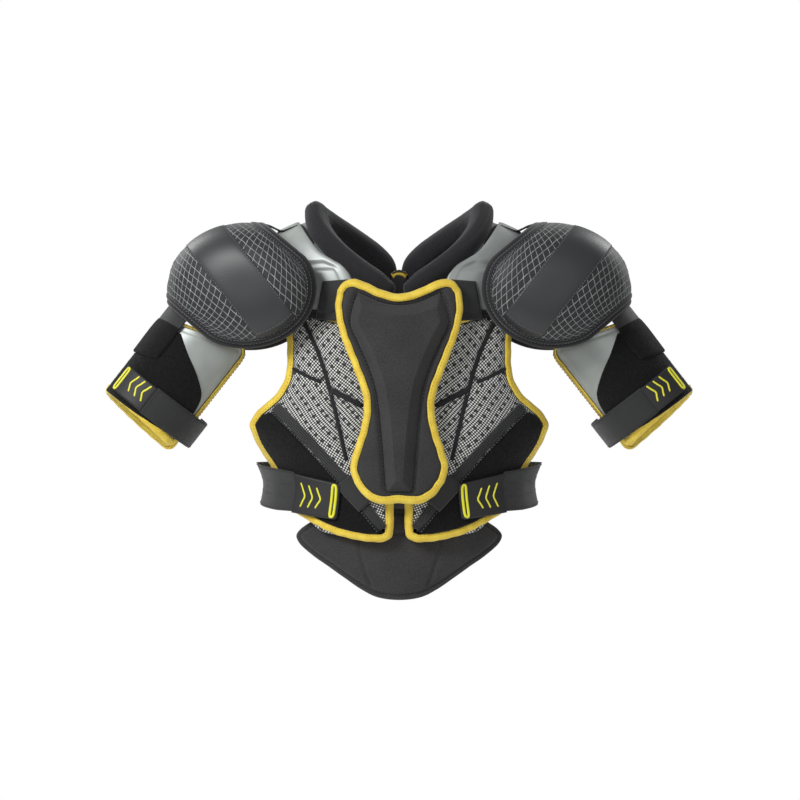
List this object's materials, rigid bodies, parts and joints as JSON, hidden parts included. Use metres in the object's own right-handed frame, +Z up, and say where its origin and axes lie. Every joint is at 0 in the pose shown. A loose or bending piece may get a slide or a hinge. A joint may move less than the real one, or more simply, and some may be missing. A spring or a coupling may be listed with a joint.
{
  "type": "ice hockey shoulder pads",
  "caption": "Ice hockey shoulder pads: padded chest and back panels, sternum and belly guards, domed shoulder caps and hinged bicep guards with hook-and-loop straps.",
  "frame": {"origin": "where the shoulder arches sit on the wearer's shoulders: on the mid-plane, midway between chest and back", "axes": "+X towards the wearer's left, -Y towards the front, +Z up"},
  "size_m": [0.722, 0.2851, 0.4834],
  "materials": {
    "charcoal_foam": "moulded EVA foam under a brushed charcoal fabric",
    "black_foam": "black padded fabric",
    "yellow_binding": "woven bias binding, stitched",
    "silver_foam": "satin laminated moulded foam",
    "spacer_mesh": "grey spacer mesh with a staggered dark eyelet pattern",
    "loop_pile": "black hook-and-loop pile",
    "webbing": "black woven elastic webbing",
    "moulded_tab": "soft moulded tab with raised chevrons",
    "slot_frame": "yellow moulded frame",
    "cap_mesh": "black net with a silver diamond print",
    "cap_edge": "doubled stitched edge",
    "pe_shell": "moulded polyethylene"
  },
  "bodies": {
    "root": {"back_panel": "charcoal_foam", "back_binding": "yellow_binding", "neck_yoke": "charcoal_foam", "spine_pad": "charcoal_foam", "spine_binding": "yellow_binding", "spine_plate": "pe_shell", "shoulder_arch_left": "silver_foam", "shoulder_arch_right": "silver_foam", "collar_roll_left": "black_foam", "collar_roll_right": "black_foam", "upper_sternum_strap_left": "webbing", "upper_sternum_strap_right": "webbing", "strap_anchor_left": "webbing", "strap_anchor_right": "webbing"},
    "chest": {"chest_web": "webbing", "chest_panel_left": "spacer_mesh", "chest_panel_right": "spacer_mesh", "chest_binding_left": "yellow_binding", "chest_binding_right": "yellow_binding", "chest_loop_patch_left": "loop_pile", "chest_loop_patch_right": "loop_pile", "lower_sternum_strap_left": "webbing", "lower_sternum_strap_right": "webbing"},
    "sternum": {"sternum_pad": "charcoal_foam", "sternum_binding": "yellow_binding", "sternum_guard": "charcoal_foam", "sternum_plate": "pe_shell"},
    "belly": {"belly_pad": "charcoal_foam"},
    "waist_left": {"waist_strap_left": "webbing"},
    "waist_tab_left": {"waist_tab_left": "moulded_tab", "waist_slot_frame_left": "slot_frame"},
    "cap_left": {"cap_cover_left": "cap_mesh", "cap_shell_left": "pe_shell", "cap_liner_left": "black_foam", "cap_rim_left": "cap_edge", "cap_webbing_left": "webbing"},
    "bicep_left": {"bicep_guard_left": "silver_foam", "bicep_plate_left": "pe_shell", "bicep_loop_patch_left": "loop_pile", "bicep_binding_left": "yellow_binding", "hanger_strap_left": "loop_pile", "bicep_strap_left": "webbing"},
    "bicep_tab_left": {"bicep_tab_left": "moulded_tab", "bicep_slot_frame_left": "slot_frame"},
    "waist_right": {"waist_strap_right": "webbing"},
    "waist_tab_right": {"waist_tab_right": "moulded_tab", "waist_slot_frame_right": "slot_frame"},
    "cap_right": {"cap_cover_right": "cap_mesh", "cap_shell_right": "pe_shell", "cap_liner_right": "black_foam", "cap_rim_right": "cap_edge", "cap_webbing_right": "webbing"},
    "bicep_right": {"bicep_guard_right": "silver_foam", "bicep_plate_right": "pe_shell", "bicep_loop_patch_right": "loop_pile", "bicep_binding_right": "yellow_binding", "hanger_strap_right": "loop_pile", "bicep_strap_right": "webbing"},
    "bicep_tab_right": {"bicep_tab_right": "moulded_tab", "bicep_slot_frame_right": "slot_frame"}
  },
  "joints": [
    {"name": "chest_open", "type": "hinge", "parent": "root", "child": "chest", "pos_m": [0, -0.082, -0.087], "axis": [-1, 0, 0], "range_deg": [0, 16]},
    {"name": "sternum_tilt", "type": "hinge", "parent": "root", "child": "sternum", "pos_m": [0, -0.099, -0.05], "axis": [-1, 0, 0], "range_deg": [0, 20]},
    {"name": "belly_fold", "type": "hinge", "parent": "chest", "child": "belly", "pos_m": [0, -0.1085, -0.3195], "axis": [1, 0, 0], "range_deg": [0, 28]},
    {"name": "waist_swing_left", "type": "hinge", "parent": "root", "child": "waist_left", "pos_m": [0.1488, 0.065, -0.293], "axis": [0, 0, 1], "range_deg": [0, 80]},
    {"name": "waist_peel_left", "type": "hinge", "parent": "waist_left", "child": "waist_tab_left", "pos_m": [0.1296, -0.0875, -0.304], "axis": [0, 0, 1], "range_deg": [0, 60]},
    {"name": "cap_lift_left", "type": "hinge", "parent": "root", "child": "cap_left", "pos_m": [0.15, 0, 0.014], "axis": [0, -1, 0], "range_deg": [0, 50]},
    {"name": "arm_swing_left", "type": "hinge", "parent": "cap_left", "child": "bicep_left", "pos_m": [0.26, 0, -0.092], "axis": [-1, 0, 0], "range_deg": [-16, 16]},
    {"name": "bicep_peel_left", "type": "hinge", "parent": "bicep_left", "child": "bicep_tab_left", "pos_m": [0.29929, -0.0635, -0.18856], "axis": [0.6157, 0, -0.788], "range_deg": [0, 55]},
    {"name": "waist_swing_right", "type": "hinge", "parent": "root", "child": "waist_right", "pos_m": [-0.1488, 0.065, -0.293], "axis": [0, 0, -1], "range_deg": [0, 80]},
    {"name": "waist_peel_right", "type": "hinge", "parent": "waist_right", "child": "waist_tab_right", "pos_m": [-0.1296, -0.0875, -0.304], "axis": [0, 0, -1], "range_deg": [0, 60]},
    {"name": "cap_lift_right", "type": "hinge", "parent": "root", "child": "cap_right", "pos_m": [-0.15, 0, 0.014], "axis": [0, 1, 0], "range_deg": [0, 50]},
    {"name": "arm_swing_right", "type": "hinge", "parent": "cap_right", "child": "bicep_right", "pos_m": [-0.26, 0, -0.092], "axis": [-1, 0, 0], "range_deg": [-16, 16]},
    {"name": "bicep_peel_right", "type": "hinge", "parent": "bicep_right", "child": "bicep_tab_right", "pos_m": [-0.29929, -0.0635, -0.18856], "axis": [0.6157, 0, 0.788], "range_deg": [0, 55]}
  ],
  "couplings": [
    {"joint": "sternum_tilt", "follows": "chest_open", "ratio": 1.2},
    {"joint": "waist_swing_left", "follows": "chest_open", "ratio": 4.5},
    {"joint": "waist_swing_right", "follows": "chest_open", "ratio": 4.5}
  ]
}
